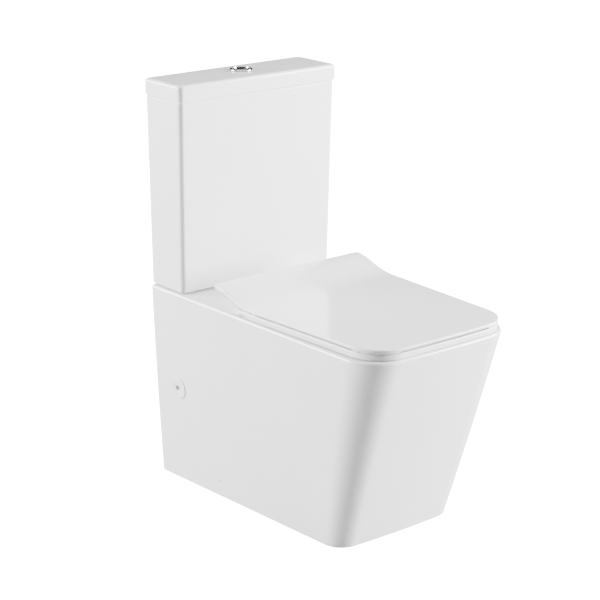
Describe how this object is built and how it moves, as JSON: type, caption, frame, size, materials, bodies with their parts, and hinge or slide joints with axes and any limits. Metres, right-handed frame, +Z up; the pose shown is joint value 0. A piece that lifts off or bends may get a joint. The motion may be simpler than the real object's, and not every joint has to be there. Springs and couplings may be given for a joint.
{
  "type": "close coupled toilet",
  "caption": "Close coupled, back to wall toilet with a boxy skirted pan, rimless bowl, slim cistern with a split push button, and a slim seat lid that sweeps up at the back.",
  "frame": {"origin": "on the floor, under the middle of the object's bounding box", "axes": "+Z up, +Y towards the wall behind it, so it faces -Y; +X to the right of someone who looks at its front"},
  "size_m": [0.391, 0.67, 0.834],
  "materials": {
    "china": "gloss white vitreous glaze",
    "seat_plastic": "gloss white moulded thermoset",
    "chrome": "polished chrome plating",
    "valve_plastic": "natural white moulded plastic",
    "grey_plastic": "blue grey moulded plastic",
    "rubber": "black rubber",
    "buffer_rubber": "soft white rubber",
    "steel": "brushed stainless steel",
    "cap_plastic": "gloss white plastic cap"
  },
  "bodies": {
    "root": {"pan": "china", "pan_bowl": "china", "pan_trapway": "china", "pan_flush_duct": "china", "cistern": "china", "flush_valve_base": "grey_plastic", "flush_valve_tower": "valve_plastic", "rocker_pins": "steel", "flush_valve_gasket": "rubber", "flush_valve_backnut": "valve_plastic", "coupling_donut": "rubber", "fill_valve_stem": "grey_plastic", "fill_valve_head": "valve_plastic", "float_lever_pin": "steel", "fill_valve_gasket": "rubber", "fill_valve_backnut": "valve_plastic", "coupling_bolts": "steel", "coupling_gaskets": "rubber", "cushion_washers": "rubber", "coupling_washers": "steel", "coupling_wing_nuts": "valve_plastic", "hinge_posts": "steel", "hinge_pins": "steel", "seat_bolts": "steel", "seat_washers": "rubber", "seat_nuts": "valve_plastic", "side_caps": "cap_plastic", "cap_screws": "steel", "wall_brackets": "steel", "side_screws": "steel", "floor_brackets": "steel"},
    "cistern_cover": {"cistern_lid": "china", "button_bezel": "chrome", "button_nut": "valve_plastic", "full_button_spring": "steel", "half_button_spring": "steel"},
    "full_button": {"full_flush_button": "chrome", "full_push_rod": "grey_plastic"},
    "half_button": {"half_flush_button": "chrome", "half_push_rod": "grey_plastic"},
    "full_rocker_arm": {"full_rocker": "grey_plastic"},
    "half_rocker_arm": {"half_rocker": "grey_plastic"},
    "lift_valve": {"lift_tube": "valve_plastic", "flush_seal": "rubber"},
    "float": {"fill_float": "grey_plastic"},
    "float_arm": {"float_lever": "grey_plastic"},
    "seat": {"seat_ring": "seat_plastic", "seat_buffers": "buffer_rubber"},
    "lid": {"seat_lid": "seat_plastic", "lid_buffers": "buffer_rubber"}
  },
  "joints": [
    {"name": "seat_hinge", "type": "hinge", "parent": "root", "child": "seat", "pos_m": [0, 0.12, 0.428], "axis": [1, 0, 0], "range_deg": [-100, 0]},
    {"name": "lid_hinge", "type": "hinge", "parent": "seat", "child": "lid", "pos_m": [0, 0.12, 0.428], "axis": [-1, 0, 0], "range_deg": [0, 100]},
    {"name": "cistern_lid_lift", "type": "slide", "parent": "root", "child": "cistern_cover", "axis": [0, 0, 1], "range_m": [0, 0.15]},
    {"name": "full_flush_press", "type": "slide", "parent": "cistern_cover", "child": "full_button", "axis": [0, 0, -1], "range_m": [0, 0.008], "stiffness_N_per_m": 300, "springref_m": -0.006, "deforming": ["full_button_spring"]},
    {"name": "half_flush_press", "type": "slide", "parent": "cistern_cover", "child": "half_button", "axis": [0, 0, -1], "range_m": [0, 0.008], "stiffness_N_per_m": 300, "springref_m": -0.006, "deforming": ["half_button_spring"]},
    {"name": "full_rocker_turn", "type": "hinge", "parent": "root", "child": "full_rocker_arm", "pos_m": [-0.03, 0.276, 0.6575], "axis": [0, 1, 0], "range_deg": [0, 22.23]},
    {"name": "half_rocker_turn", "type": "hinge", "parent": "root", "child": "half_rocker_arm", "pos_m": [0.03, 0.276, 0.6575], "axis": [0, -1, 0], "range_deg": [0, 24.52]},
    {"name": "flush_valve_lift", "type": "slide", "parent": "root", "child": "lift_valve", "axis": [0, 0, 1], "range_m": [0, 0.00754]},
    {"name": "float_rise", "type": "slide", "parent": "root", "child": "float", "axis": [0, 0, 1], "range_m": [0, 0.01]},
    {"name": "float_arm_turn", "type": "hinge", "parent": "root", "child": "float_arm", "pos_m": [-0.132, 0.276, 0.6815], "axis": [0, 1, 0], "range_deg": [0, 24.27]}
  ],
  "couplings": [
    {"joint": "full_rocker_turn", "follows": "full_flush_press", "rad_per_m": 47.619},
    {"joint": "half_rocker_turn", "follows": "half_flush_press", "rad_per_m": 52.632},
    {"joint": "flush_valve_lift", "follows": "full_flush_press", "ratio": 0.9295},
    {"joint": "float_arm_turn", "follows": "float_rise", "rad_per_m": 41.667}
  ]
}
